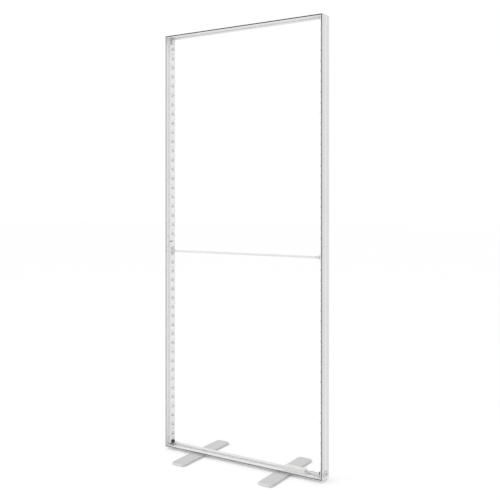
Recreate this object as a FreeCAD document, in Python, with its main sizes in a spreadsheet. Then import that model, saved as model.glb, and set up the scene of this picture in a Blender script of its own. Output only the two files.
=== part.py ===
import FreeCAD, Part
import math
import os
import Sketcher
from FreeCAD import Placement, Rotation, Vector

# Free-standing illuminated partition frame, millimetres.
# X runs along the wall, -Y is the front, +Z is up.
# The origin is on the floor under the middle of the frame.
# Section sizes run from the outer face of the frame towards its window.

DIMENSIONS = {
    "frame": {
        "frame_width": 850,
        "frame_height": 2000,
        "frame_depth": 65,
        "corner_leg": 36,
        "split_gap": 0.4,
        "edge_round": 0.5,
    },
    "extrusion section": {
        "outer_wall": 1.5,
        "groove_mouth": 4.1,
        "lip_thickness": 2.9,
        "lip_wall": 1.6,
        "groove_depth": 15,
        "nose_depth": 3,
        "web": 1.5,
        "chamber_width": 4.5,
        "channel_wall": 1.5,
    },
    "connecting pieces": {
        "key_clearance": 0.1,
        "splice_length": 120,
        "corner_key_length": 80,
        "strip_thickness": 1.2,
        "strip_clearance": 0.3,
        "splice_strip_length": 84,
        "corner_strip_length": 60,
        "splice_screw_offset": 22,
        "corner_screw_offset": 44,
        "lip_screw_inset": 8,
        "lip_screw_radius": 2,
        "lip_head_radius": 3.4,
        "lip_head_height": 1.3,
        "lip_head_round": 0.78,
        "hex_radius": 1.3,
        "hole_clearance": 0.1,
    },
    "light bars": {
        "carrier_width": 27,
        "carrier_height": 8.8,
        "carrier_wall": 1.5,
        "carrier_tongue": 4.5,
        "carrier_end_gap": 2,
        "tongue_clearance": 0.2,
        "carrier_split_gap": 5,
        "board_width": 20,
        "board_thickness": 1.2,
        "board_end_gap": 6,
        "lens_radius": 7.5,
        "lens_rim": 1.0,
        "lens_shoulder": 0.6,
        "lens_height": 9,
        "lens_cavity_radius": 2.6,
        "lens_cavity_depth": 2.2,
        "lower_lens_pitch": 44,
        "upper_lens_pitch": 45.2,
        "lower_lens_start": 18,
        "upper_lens_start": 26.5,
        "lens_end_margin": 10,
        "chip_side": 3,
        "chip_height": 0.8,
        "board_screw_radius": 1.45,
        "board_head_radius": 2.8,
        "board_head_height": 1.6,
        "board_screw_length": 5,
        "jumper_radius": 1.0,
        "jumper_end": 5,
        "jumper_reach": 24,
        "connector_length": 9,
        "connector_width": 8,
        "connector_height": 5,
        "connector_gap": 1,
    },
    "cross brace": {
        "brace_drop": 47,
        "tube_radius": 5,
        "tube_wall": 1,
        "socket_plate_width": 24,
        "socket_plate_height": 40,
        "socket_plate_thickness": 2,
        "socket_radius": 9,
        "socket_depth": 12,
        "socket_floor": 2,
        "socket_bore_radius": 6.6,
        "head_radius": 6.25,
        "head_length": 12,
        "spigot_length": 18,
        "plunger_length": 46,
        "plunger_clearance": 0.08,
        "plunger_travel": 10,
        "spring_length": 22,
        "spring_wire_radius": 0.4,
        "spring_turns": 9,
        "septum": 2,
        "socket_screw_offset": 14,
    },
    "power inlet": {
        "inlet_height": 21,
        "inlet_length": 46,
        "inlet_flange_height": 24,
        "inlet_flange": 2,
        "gasket": 0.8,
        "gasket_margin": 0.9,
        "inlet_body_width": 19,
        "inlet_body_height": 17,
        "inlet_body_depth": 18,
        "inlet_mouth_length": 16.4,
        "inlet_mouth_height": 9.2,
        "inlet_mouth_depth": 12,
        "inlet_rim_round": 0.8,
        "pin_radius": 1.2,
        "pin_pitch": 8.6,
        "pin_length": 9,
        "inlet_screw_pitch": 35,
        "inlet_screw_radius": 1.25,
        "inlet_screw_head": 2.4,
    },
    "left light bar plug": {
        "plug_width": 16,
        "plug_height": 14,
        "plug_base": 1.5,
        "plug_lobe_width": 6.4,
        "plug_depth": 10.5,
        "plug_round": 1.2,
        "plug_exit_offset": 3.7,
        "bar_foot_margin": 2,
    },
    "mains plug behind the inlet": {
        "mains_plug_width": 14,
        "mains_plug_height": 14,
        "mains_plug_depth": 9.8,
        "mains_plug_round": 0.8,
    },
    "driver": {
        "driver_inset": 150,
        "driver_length": 132,
        "driver_case_length": 106,
        "driver_width": 28,
        "driver_height": 15,
        "driver_base": 2,
        "driver_wall": 1.2,
        "driver_board_thickness": 1.6,
        "driver_screw_radius": 1.7,
        "driver_screw_head": 3.2,
        "driver_screw_head_height": 1.8,
    },
    "feet": {
        "foot_inset": 195,
        "foot_length": 380,
        "foot_width": 72,
        "foot_thickness": 8,
        "foot_corner": 16,
        "foot_edge": 1.2,
        "foot_pad_thickness": 2,
        "foot_pad_radius": 12,
        "foot_pad_inset": 22,
        "foot_bolt_radius": 3,
        "foot_bolt_head": 6,
        "foot_bolt_recess": 0.5,
        "foot_bolt_hex": 2.2,
        "foot_bore_clearance": 0.06,
        "foot_cone_clearance": 0.4,
        "slot_nut_width": 10.6,
        "slot_nut_length": 22,
        "slot_nut_thickness": 5,
    },
    "internal leads": {
        "mains_lead_radius": 2.5,
        "mains_lead_offset": 4,
        "led_lead_radius": 1.0,
        "led_lead_offset": 9.2,
        "channel_lead_offset": 7.8,
        "channel_lead_lift": 0.9,
        "lead_straight": 4.4,
        "bend_share": 0.45,
        "channel_lead_drop": 35,
        "channel_lead_slope": 30,
        "plug_lead_reach": 26,
        "mains_lead_height": 18,
        "led_lead_height": 13,
        "led_lead_clearance": 1.5,
    },
}

# Two lengths closer than this are the same when edges are picked.
NEAR = 0.01

doc = FreeCAD.newDocument("partition_wall")
sheet = doc.addObject("Spreadsheet::Sheet", "dims")
row = 1
for group_name, group_sizes in DIMENSIONS.items():
    sheet.set("A%d" % row, group_name)
    row += 1
    for alias, size in group_sizes.items():
        sheet.set("A%d" % row, alias)
        sheet.set("B%d" % row, str(size))
        sheet.setAlias("B%d" % row, alias)
        row += 1
doc.recompute()


def dim(text):
    """Writes a rule over the sheet's names as an expression: $name is a cell."""
    return text.replace("$", "dims.")


def num(text):
    """The present value of a rule."""
    return float(sheet.evalExpression(dim(text)))


# Rules that several pieces share.
FACE = "($outer_wall + $groove_mouth + $lip_thickness)"
RECESS = "(%s - $lip_wall)" % FACE
HALF_WIDTH = "($frame_width / 2)"
HALF_DEPTH = "($frame_depth / 2)"
BASE = "($foot_pad_thickness + $foot_thickness)"
TOP = "(%s + $frame_height)" % BASE
MIDDLE = "(%s + $frame_height / 2)" % BASE
CHAMBER_OUT = "(%s - $groove_depth - $web)" % HALF_DEPTH
CHAMBER_IN = "(%s - $chamber_width)" % CHAMBER_OUT
CHANNEL = "(%s - $channel_wall)" % CHAMBER_IN
CARRIER_TOP = "(%s + $carrier_height)" % FACE
BOARD_TOP = "(%s + $board_thickness)" % CARRIER_TOP
BRACE_Z = "(%s - $brace_drop)" % MIDDLE
SOCKET_MOUTH = "(%s + $socket_plate_thickness + $socket_depth)" % CARRIER_TOP
SOCKET_BED = "(%s + $socket_plate_thickness + $socket_floor)" % CARRIER_TOP
INLET_Z = "(%s + $inlet_height)" % BASE
DRIVER_X = "(%s - $driver_inset)" % HALF_WIDTH
DRIVER_Z = "(%s + %s)" % (BASE, FACE)
FOOT_X = "(%s - $foot_inset)" % HALF_WIDTH
# Distance of each driver screw from the middle of the driver.
DRIVER_SCREW_REACH = "(($driver_length + $driver_case_length) / 4)"

nodes = []


def node(label, thing):
    """Names a finished sub-part."""
    thing.Label = label
    nodes.append(thing)
    return thing


def place(thing, x="0", y="0", z="0", rotation=None):
    """Puts an object at rules for its place, turned by a fixed rotation."""
    if rotation is not None:
        thing.Placement = Placement(Vector(0, 0, 0), rotation)
    for axis, rule in (("x", x), ("y", y), ("z", z)):
        thing.setExpression("Placement.Base." + axis, dim(rule))
    return thing


def origin_plane(body, role):
    return [f for f in body.Origin.OriginFeatures if f.Role == role][0]


def new_sketch(body, name, role, offset="0"):
    """A sketch on one of the body's own planes, moved along its normal."""
    sketch = body.newObject("Sketcher::SketchObject", name)
    sketch.AttachmentSupport = [(origin_plane(body, role), "")]
    sketch.MapMode = "FlatFace"
    if offset != "0":
        sketch.setExpression("AttachmentOffset.Base.z", dim(offset))
    return sketch


def pin_vertex(sketch, edge, end, x, y):
    """Ties one end of a sketch line to rules for its two coordinates."""
    for kind, rule, axis in (("DistanceX", x, -2), ("DistanceY", y, -1)):
        if rule == "0":
            sketch.addConstraint(Sketcher.Constraint("PointOnObject", edge, end, axis))
            continue
        constraint = Sketcher.Constraint(kind, -1, 1, edge, end, num(rule))
        index = sketch.addConstraint(constraint)
        sketch.setExpression("Constraints[%d]" % index, dim(rule))


def draw_loop(sketch, corners, closed=True):
    """Draws straight lines through corners, each given as two rules."""
    spots = [Vector(num(x), num(y), 0) for x, y in corners]
    last = len(spots) if closed else len(spots) - 1
    first_edge = sketch.GeometryCount
    for i in range(last):
        sketch.addGeometry(Part.LineSegment(spots[i], spots[(i + 1) % len(spots)]))
    for i in range(last):
        pin_vertex(sketch, first_edge + i, 1, *corners[i])
        if i + 1 < last:
            link = Sketcher.Constraint("Coincident", first_edge + i, 2, first_edge + i + 1, 1)
            sketch.addConstraint(link)
    if closed:
        link = Sketcher.Constraint("Coincident", first_edge + last - 1, 2, first_edge, 1)
        sketch.addConstraint(link)
    else:
        pin_vertex(sketch, first_edge + last - 1, 2, *corners[-1])


def draw_circle(sketch, x, y, radius):
    circle = Part.Circle(Vector(num(x), num(y), 0), Vector(0, 0, 1), num(radius))
    edge = sketch.addGeometry(circle)
    index = sketch.addConstraint(Sketcher.Constraint("Radius", edge, num(radius)))
    sketch.setExpression("Constraints[%d]" % index, dim(radius))
    pin_vertex(sketch, edge, 3, x, y)


def rectangle(x0, y0, x1, y1):
    return [(x0, y0), (x1, y0), (x1, y1), (x0, y1)]


def new_body(name):
    return doc.addObject("PartDesign::Body", name)


def pad(body, sketch, length, symmetric=False):
    step = body.newObject("PartDesign::Pad", "Pad")
    step.Profile = sketch
    step.SideType = "Symmetric" if symmetric else "One side"
    step.setExpression("Length", dim(length))
    return step


def pocket(body, sketch, length, reverse=False, symmetric=False):
    """Cuts a sketch into the body and makes sure that it took something away."""
    doc.recompute()
    before = body.Shape.Volume
    step = body.newObject("PartDesign::Pocket", "Pocket")
    step.Profile = sketch
    step.SideType = "Symmetric" if symmetric else "One side"
    step.Reversed = reverse
    step.setExpression("Length", dim(length))
    doc.recompute()
    if body.Shape.Volume >= before:
        raise RuntimeError("a pocket in %s cuts nothing" % body.Name)
    return step


def round_edges(body, wanted, radius):
    """Fillets the edges of the body's last feature that a test picks."""
    doc.recompute()
    tip = body.Tip
    names = [
        "Edge%d" % (i + 1)
        for i, edge in enumerate(tip.Shape.Edges)
        if wanted(edge)
    ]
    fillet = body.newObject("PartDesign::Fillet", "Fillet")
    fillet.Base = (tip, names)
    fillet.setExpression("Radius", dim(radius))
    return fillet


def box(x0, y0, z0, x1, y1, z1):
    """A Part box between two corners, each coordinate a rule."""
    block = doc.addObject("Part::Box", "Box")
    block.setExpression("Length", dim("(%s) - (%s)" % (x1, x0)))
    block.setExpression("Width", dim("(%s) - (%s)" % (y1, y0)))
    block.setExpression("Height", dim("(%s) - (%s)" % (z1, z0)))
    return place(block, x0, y0, z0)


def cylinder(x, y, z, radius, length, rotation=None):
    """A Part cylinder from a point, along Z unless it is turned."""
    rod = doc.addObject("Part::Cylinder", "Cylinder")
    rod.setExpression("Radius", dim(radius))
    rod.setExpression("Height", dim(length))
    return place(rod, x, y, z, rotation)


def fuse(shapes):
    joined = doc.addObject("Part::MultiFuse", "Fusion")
    joined.Shapes = shapes
    return joined


def cut(base, tools):
    tool = tools[0] if len(tools) == 1 else fuse(tools)
    result = doc.addObject("Part::Cut", "Cut")
    result.Base = base
    result.Tool = tool
    return result


def feature(label, shape):
    """A sub-part whose shape is worked out with Part's own functions."""
    thing = doc.addObject("Part::Feature", label)
    thing.Shape = shape
    thing.Placement = Placement()
    return node(label, thing)


ALONG_X = Rotation(Vector(0, 1, 0), 90)
SIDES = {"left": 1, "right": -1}


def inward(side, depth):
    """The X rule of a point at a depth in from the outer face of a post."""
    if side == "left":
        return "(%s - %s)" % (depth, HALF_WIDTH)
    return "(%s - %s)" % (HALF_WIDTH, depth)


def signed(sign, rule):
    return rule if sign > 0 else "-(%s)" % rule


# ---------------------------------------------------------------- frame

def section_outline(flip=1):
    """The extrusion's outline as (depth in from the outer face, y) rules."""
    wall = "$outer_wall"
    nose = "$outer_wall + $groove_mouth"
    half = HALF_DEPTH
    bed = "%s - $groove_depth" % HALF_DEPTH
    hook = "%s - $nose_depth" % HALF_DEPTH
    front = [
        ("0", half), (wall, half), (wall, bed), (RECESS, bed), (RECESS, hook),
        (nose, hook), (nose, half), (FACE, half), (FACE, CHANNEL), (wall, CHANNEL),
    ]
    lower = [(depth, "-(%s)" % y) for depth, y in front]
    corners = lower + list(reversed(front))
    return [(depth if depth == "0" else signed(flip, depth), y) for depth, y in corners]


def chamber_outline(flip, face):
    """One closed chamber of the extrusion, at the front or the rear."""
    outer, inner = signed(face, CHAMBER_OUT), signed(face, CHAMBER_IN)
    return rectangle(signed(flip, "$outer_wall"), outer, signed(flip, RECESS), inner)


def draw_section(sketch, flip=1, swap=False):
    loops = [section_outline(flip), chamber_outline(flip, 1), chamber_outline(flip, -1)]
    for loop in loops:
        if swap:
            loop = [(y, depth) for depth, y in loop]
        draw_loop(sketch, loop)


def long_outer_edge(direction):
    """A test for the extrusion's four outermost edges along a direction."""
    half = num(HALF_DEPTH)

    def wanted(edge):
        if edge.Length < num("$corner_leg") / 2 or len(edge.Vertexes) != 2:
            return False
        run = edge.Vertexes[1].Point - edge.Vertexes[0].Point
        if abs(run.normalize().dot(direction)) < 1 - NEAR:
            return False
        middle = edge.BoundBox.Center
        if abs(abs(middle.y) - half) > NEAR:
            return False
        across = abs(middle.x) if direction.z else abs(middle.z)
        return across < NEAR or abs(across - num(FACE)) < NEAR

    return wanted


def post(side, level):
    """Half of a side post, standing on a corner piece or on its other half."""
    flip = SIDES[side]
    body = new_body("%s_post_%s" % (side, level))
    sketch = new_sketch(body, "Section", "XY_Plane")
    draw_section(sketch, flip)
    length = "$frame_height / 2 - $corner_leg - $split_gap / 2"
    pad(body, sketch, length)
    round_edges(body, long_outer_edge(Vector(0, 0, 1)), "$edge_round")
    from_corner = "($corner_screw_offset - $corner_leg)"
    from_split = "($splice_screw_offset - $split_gap / 2)"
    low, high = (from_corner, from_split) if level == "lower" else (from_split, from_corner)
    holes = new_sketch(body, "Screw_holes", "YZ_Plane", signed(flip, FACE))
    radius = "$lip_screw_radius + $hole_clearance"
    for face in (1, -1):
        y = signed(face, "(%s - $lip_screw_inset)" % HALF_DEPTH)
        draw_circle(holes, y, low, radius)
        draw_circle(holes, y, "(%s) - %s" % (length, high), radius)
    pocket(body, holes, "$lip_wall + $outer_wall / 2", reverse=flip < 0)
    z = "%s + $corner_leg" % BASE if level == "lower" else "%s + $split_gap / 2" % MIDDLE
    place(body, inward(side, "0"), "0", z)
    return node("%s_post_%s" % (side, level), body)


def rail(level):
    """The top or the bottom rail, between two corner pieces."""
    flip = 1 if level == "bottom" else -1
    body = new_body("%s_rail" % level)
    sketch = new_sketch(body, "Section", "YZ_Plane")
    draw_section(sketch, flip, swap=True)
    length = "($frame_width - 2 * $corner_leg)"
    pad(body, sketch, length)
    round_edges(body, long_outer_edge(Vector(1, 0, 0)), "$edge_round")
    holes = new_sketch(body, "Screw_holes", "XY_Plane", signed(flip, FACE))
    radius = "$lip_screw_radius + $hole_clearance"
    from_end = "($corner_screw_offset - $corner_leg)"
    for face in (1, -1):
        y = signed(face, "(%s - $lip_screw_inset)" % HALF_DEPTH)
        draw_circle(holes, from_end, y, radius)
        draw_circle(holes, "%s - %s" % (length, from_end), y, radius)
    pocket(body, holes, "$lip_wall + $outer_wall / 2", reverse=flip < 0)
    if level == "bottom":
        bolts = new_sketch(body, "Foot_bolt_holes", "XY_Plane", "$outer_wall")
        for inset in ("$foot_inset", "$frame_width - $foot_inset"):
            draw_circle(bolts, "%s - $corner_leg" % inset, "0", "$foot_bolt_radius + $hole_clearance")
        pocket(body, bolts, "$outer_wall")
        fixings = new_sketch(body, "Driver_screw_holes", "XY_Plane", "$outer_wall")
        for end in (1, -1):
            x = "$frame_width - $driver_inset - $corner_leg + %d * %s" % (end, DRIVER_SCREW_REACH)
            draw_circle(fixings, x, "0", "$driver_screw_radius + $hole_clearance")
        pocket(body, fixings, "$outer_wall")
    z = BASE if level == "bottom" else TOP
    place(body, "$corner_leg - %s" % HALF_WIDTH, "0", z)
    return node("%s_rail" % level, body)


def corner(name, x, z, turn, with_inlet=False):
    """A mitred corner piece: the same section swept round a right angle."""
    body = new_body("corner_%s" % name)
    section = new_sketch(body, "Section", "YZ_Plane", "$corner_leg")
    draw_section(section, swap=True)
    path = new_sketch(body, "Path", "XZ_Plane")
    draw_loop(path, [("$corner_leg", "0"), ("0", "0"), ("0", "$corner_leg")], closed=False)
    doc.recompute()
    sweep = body.newObject("PartDesign::AdditivePipe", "Sweep")
    sweep.Profile = section
    sweep.Spine = (path, ["Edge1", "Edge2"])
    sweep.Transition = "Right corner"
    if with_inlet:
        # The piece is turned, so heights are measured along its other leg.
        half_width = "($inlet_body_width / 2 + $key_clearance)"
        half_height = "($inlet_body_height / 2 + $key_clearance)"
        low = "$inlet_height - %s" % half_height
        high = "$inlet_height + %s" % half_height
        opening = new_sketch(body, "Inlet_opening", "XY_Plane", "$outer_wall")
        draw_loop(opening, rectangle(low, "-" + half_width, high, half_width))
        pocket(body, opening, "$outer_wall")
        screws = new_sketch(body, "Inlet_screw_holes", "XY_Plane", "$outer_wall")
        for face in (1, -1):
            y = signed(face, "($inlet_screw_pitch / 2)")
            draw_circle(screws, "$inlet_height", y, "$inlet_screw_radius + $hole_clearance")
        pocket(body, screws, "$outer_wall")
    place(body, x, "0", z, Rotation(Vector(0, 1, 0), turn))
    return node("corner_%s" % name, body)


for side in SIDES:
    for level in ("lower", "upper"):
        post(side, level)
rail("bottom")
rail("top")
corner("bottom_left", "-" + HALF_WIDTH, BASE, 0)
corner("bottom_right", HALF_WIDTH, BASE, -90, with_inlet=True)
corner("top_right", HALF_WIDTH, TOP, 180)
corner("top_left", "-" + HALF_WIDTH, TOP, 90)


# ------------------------------------------------- connecting pieces

def solid_box(x0, y0, z0, x1, y1, z1):
    """A box shape between two corners given as numbers."""
    return Part.makeBox(x1 - x0, y1 - y0, z1 - z0, Vector(x0, y0, z0))


def rod(start, direction, radius, length):
    return Part.makeCylinder(radius, length, start, direction)


def corner_frames():
    """The four corners as a spot and the two directions along their legs."""
    half, low, high = num(HALF_WIDTH), num(BASE), num(TOP)
    for sx in (-1, 1):
        for z, sz in ((low, 1), (high, -1)):
            yield Vector(sx * half, 0, z), Vector(-sx, 0, 0), Vector(0, 0, sz)


def corner_angle(spot, along, up, near, far, y0, y1, leg):
    """An L of flat bar set in by near, as thick as far - near, in a corner."""
    def at(a, b):
        return spot + along * a + up * b + Vector(0, y0, 0)

    outline = [at(near, near), at(leg, near), at(leg, far), at(far, far), at(far, leg), at(near, leg)]
    face = Part.Face(Part.makePolygon(outline + outline[:1]))
    return face.extrude(Vector(0, y1 - y0, 0))


def lip_screw(spot, inside):
    """A button-head socket screw whose head sits on the lip at a spot."""
    radius, head = num("$lip_screw_radius"), num("$lip_head_radius")
    height = num("$lip_head_height")
    crown = rod(spot, inside, head, height)
    rim = [e for e in crown.Edges if abs((e.BoundBox.Center - spot).dot(inside) - height) < NEAR]
    crown = crown.makeFillet(num("$lip_head_round"), [e for e in rim if len(e.Vertexes) == 1])
    shank = rod(spot, inside * -1, radius, num("$lip_wall + $strip_thickness"))
    socket = rod(spot + inside * (height / 4), inside, num("$hex_radius"), height)
    return crown.fuse(shank).cut(socket)


STRIP_OUTER = "(%s - $strip_thickness)" % RECESS
lip = num(FACE)
lip_y = num("%s - $lip_screw_inset" % HALF_DEPTH)
strip_span = (
    num("%s - $groove_depth + $strip_clearance" % HALF_DEPTH),
    num("%s - $nose_depth - $strip_clearance" % HALF_DEPTH),
)
key_span = (
    num("%s + $key_clearance" % CHAMBER_IN),
    num("%s - $key_clearance" % CHAMBER_OUT),
)
key_near = num("$outer_wall + $key_clearance")
key_far = num("%s - $key_clearance" % RECESS)
middle_z = num(MIDDLE)
screws = []
screw_holes = []


def both_faces(span):
    """The same span of Y at the front and at the rear."""
    return [(span[0], span[1]), (-span[1], -span[0])]


def add_lip_screw(spot, inside):
    screws.append(lip_screw(spot, inside))
    reach = num("$lip_wall + $strip_thickness + 1")
    radius = num("$lip_screw_radius + $hole_clearance")
    screw_holes.append(rod(spot, inside * -1, radius, reach))


corner_keys = []
corner_strips = []
for spot, along, up in corner_frames():
    for y0, y1 in both_faces(key_span):
        leg = num("$corner_key_length")
        corner_keys.append(corner_angle(spot, along, up, key_near, key_far, y0, y1, leg))
    for y0, y1 in both_faces(strip_span):
        near, far, leg = num(STRIP_OUTER), num(RECESS), num("$corner_strip_length")
        corner_strips.append(corner_angle(spot, along, up, near, far, y0, y1, leg))
    offset = num("$corner_screw_offset")
    for y in (-lip_y, lip_y):
        add_lip_screw(spot + along * offset + up * lip + Vector(0, y, 0), up)
        add_lip_screw(spot + up * offset + along * lip + Vector(0, y, 0), along)

splice_bars = []
splice_strips = []
for sx in (-1, 1):
    outer = Vector(sx * num(HALF_WIDTH), 0, middle_z)
    inside = Vector(-sx, 0, 0)
    for span, near, far, length, pieces in (
        (key_span, key_near, key_far, num("$splice_length"), splice_bars),
        (strip_span, num(STRIP_OUTER), num(RECESS), num("$splice_strip_length"), splice_strips),
    ):
        for y0, y1 in both_faces(span):
            x0, x1 = sorted((outer.x + inside.x * near, outer.x + inside.x * far))
            z0, z1 = middle_z - length / 2, middle_z + length / 2
            pieces.append(solid_box(x0, y0, z0, x1, y1, z1))
    for y in (-lip_y, lip_y):
        for up in (-1, 1):
            z = up * num("$splice_screw_offset")
            add_lip_screw(outer + inside * lip + Vector(0, y, z), inside)

drill = Part.makeCompound(screw_holes)
feature("corner_keys", Part.makeCompound(corner_keys))
feature("corner_strips", Part.makeCompound([s.cut(drill) for s in corner_strips]))
feature("splice_bars", Part.makeCompound(splice_bars))
feature("splice_strips", Part.makeCompound([s.cut(drill) for s in splice_strips]))
feature("lip_screws", Part.makeCompound(screws))


# ---------------------------------------------------------- light bars

LOWER_BAR = ("%s + $corner_leg + $carrier_end_gap" % BASE, "%s - $carrier_split_gap / 2" % MIDDLE)
UPPER_BAR = ("%s + $carrier_split_gap / 2" % MIDDLE, "%s - $corner_leg - $carrier_end_gap" % TOP)
BARS = {"lower": LOWER_BAR, "upper": UPPER_BAR}
SOCKET_LOW = "(%s - $socket_plate_height / 2)" % BRACE_Z
SOCKET_HIGH = "(%s + $socket_plate_height / 2)" % BRACE_Z
BOARDS = {
    "lower": ("%s + $board_end_gap" % LOWER_BAR[0], "%s - $board_end_gap" % SOCKET_LOW),
    "upper": ("%s + $board_end_gap" % UPPER_BAR[0], "%s - $board_end_gap" % UPPER_BAR[1]),
}


def lens_heights(level):
    """Heights of the lenses of one board: as many as its length takes."""
    low, high = (num(rule) for rule in BOARDS[level])
    pitch = num("$%s_lens_pitch" % level)
    first = low + num("$%s_lens_start" % level)
    count = int((high - num("$lens_end_margin") - first) / pitch) + 1
    return [first + pitch * i for i in range(count)]


def board_screw_heights(level):
    """Heights of a board's screws: in three of the gaps between lenses."""
    lenses = lens_heights(level)
    gaps = (0, len(lenses) // 2 - 1, len(lenses) - 2)
    return [(lenses[i] + lenses[i + 1]) / 2 for i in gaps]


def socket_screw_heights():
    offset = num("$socket_screw_offset")
    return [num(BRACE_Z) - offset, num(BRACE_Z) + offset]


def carrier(side, level):
    """The open-backed aluminium bar that clips into a post's channel."""
    name = "%s_carrier_%s" % (side, level)
    body = new_body(name)
    sketch = new_sketch(body, "Section", "XY_Plane")
    tongue = "(%s - $tongue_clearance)" % CHANNEL
    wall = "$carrier_wall"
    half = [
        (CARRIER_TOP, "$carrier_width / 2"),
        (FACE, "$carrier_width / 2"),
        (FACE, tongue),
        ("%s - $carrier_tongue" % FACE, tongue),
        ("%s - $carrier_tongue" % FACE, "%s - %s" % (tongue, wall)),
        ("%s + %s" % (FACE, wall), "%s - %s" % (tongue, wall)),
        ("%s + %s" % (FACE, wall), "$carrier_width / 2 - %s" % wall),
        ("%s - %s" % (CARRIER_TOP, wall), "$carrier_width / 2 - %s" % wall),
    ]
    other = [(depth, "-(%s)" % y) for depth, y in reversed(half)]
    flip = SIDES[side]
    draw_loop(sketch, [(signed(flip, depth), y) for depth, y in half + other])
    low, high = BARS[level]
    pad(body, sketch, "(%s) - (%s)" % (high, low))
    holes = new_sketch(body, "Screw_holes", "YZ_Plane", signed(flip, CARRIER_TOP))
    spots = list(board_screw_heights(level))
    if level == "lower":
        spots += socket_screw_heights()
    for spot in spots:
        draw_circle(holes, "0", str(spot - num(low)), "$board_screw_radius + $hole_clearance")
    pocket(body, holes, "$carrier_wall + $hole_clearance", reverse=flip < 0)
    place(body, inward(side, "0"), "0", low)
    return node(name, body)


def post_spot(side, depth, y, z):
    """A point at a depth in from a post's outer face."""
    return Vector(-SIDES[side] * (num(HALF_WIDTH) - depth), y, z)


def lens(spot, inside):
    """A domed lens with a cavity over its light, on the board at a spot."""
    radius, rim, height = num("$lens_radius"), num("$lens_rim"), num("$lens_height")
    hollow, depth = num("$lens_cavity_radius"), num("$lens_cavity_depth")
    foot = radius - num("$lens_shoulder")
    centre = (height ** 2 - rim ** 2 - foot ** 2) / (2 * (height - rim))
    dome_radius = height - centre
    slant = math.pi / 4
    corners = [(0, height), (0, depth), (hollow, depth), (hollow, 0), (radius, 0), (radius, rim), (foot, rim)]
    points = [Vector(r, 0, z) for r, z in corners]
    edges = [Part.LineSegment(p, q).toShape() for p, q in zip(points, points[1:])]
    shoulder = Vector(dome_radius * math.cos(slant), 0, centre + dome_radius * math.sin(slant))
    edges.append(Part.Arc(points[-1], shoulder, points[0]).toShape())
    dome = Part.Face(Part.Wire(edges)).revolve(Vector(0, 0, 0), Vector(0, 0, 1), 360)
    dome.Placement = Placement(spot, Rotation(Vector(0, 0, 1), inside))
    return dome


def board_screw(spot, inside):
    head = rod(spot, inside, num("$board_head_radius"), num("$board_head_height"))
    shank = rod(spot, inside * -1, num("$board_screw_radius"), num("$board_screw_length"))
    head_height = num("$board_head_height")
    slot = rod(spot + inside * (head_height / 2), inside, num("$hex_radius"), head_height)
    return head.fuse(shank).cut(slot)


bar_screws = []
connectors = []
jumpers = []
for side, flip in SIDES.items():
    inside = Vector(flip, 0, 0)
    chips = []
    board_depth, light_depth = num(CARRIER_TOP), num(BOARD_TOP)
    for level in ("lower", "upper"):
        carrier(side, level)
        low, high = (num(rule) for rule in BOARDS[level])
        x0, x1 = sorted((post_spot(side, board_depth, 0, 0).x, post_spot(side, light_depth, 0, 0).x))
        half = num("$board_width / 2")
        board = solid_box(x0, -half, low, x1, half, high)
        lenses = []
        for z in lens_heights(level):
            spot = post_spot(side, light_depth, 0, z)
            lenses.append(lens(spot, inside))
            side_half = num("$chip_side / 2")
            x0, x1 = sorted((spot.x, spot.x + flip * num("$chip_height")))
            chips.append(solid_box(x0, -side_half, z - side_half, x1, side_half, z + side_half))
        for z in board_screw_heights(level):
            spot = post_spot(side, light_depth, 0, z)
            bar_screws.append(board_screw(spot, inside))
            hole = num("$board_screw_radius + $hole_clearance")
            through = num("$board_thickness")
            board = board.cut(rod(spot - inside * (2 * through), inside, hole, 3 * through))
        feature("%s_board_%s" % (side, level), board)
        feature("%s_lenses_%s" % (side, level), Part.makeCompound(lenses))
        if level == "lower":
            top_depth = light_depth + num("$connector_height")
            x0, x1 = sorted(post_spot(side, depth, 0, 0).x for depth in (light_depth, top_depth))
            width = num("$connector_width / 2")
            length = num("$connector_length")
            foot = low + num("$connector_gap")
            connectors.append(solid_box(x0, -width, foot, x1, width, foot + length))
    feature("%s_chips" % side, Part.makeCompound(chips))


def rounded_route(points):
    """A wire of straight runs joined by tangent arcs, and its tightest radius."""
    share = num("$bend_share")
    if len(points) == 2:
        return Part.Wire([Part.LineSegment(*points).toShape()]), math.inf
    edges = []
    start = points[0]
    tightest = math.inf
    for before, here, after in zip(points, points[1:], points[2:]):
        back, ahead = (before - here), (after - here)
        run = min(back.Length, ahead.Length)
        back.normalize()
        ahead.normalize()
        half_turn = (math.pi - back.getAngle(ahead)) / 2
        trim = share * run
        radius = trim / math.tan(half_turn)
        tightest = min(tightest, radius)
        bisector = (back + ahead).normalize()
        middle = here + bisector * (radius / math.cos(half_turn) - radius)
        first, last = here + back * trim, here + ahead * trim
        edges.append(Part.LineSegment(start, first).toShape())
        edges.append(Part.Arc(first, middle, last).toShape())
        start = last
    edges.append(Part.LineSegment(start, points[-1]).toShape())
    return Part.Wire(edges), tightest


def lead(label, points, radius):
    """A round lead along a route, made whole; prints how it bends."""
    wire, tightest = rounded_route(points)
    section = Part.Wire([Part.Circle(points[0], points[1] - points[0], radius).toShape()])
    if len(points) > 2:
        print("%s: %.0f mm long, tightest bend %.1f mm, radius %.2f" % (label, wire.Length, tightest, radius))
    feature(label, wire.makePipeShell([section], True, False))


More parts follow.
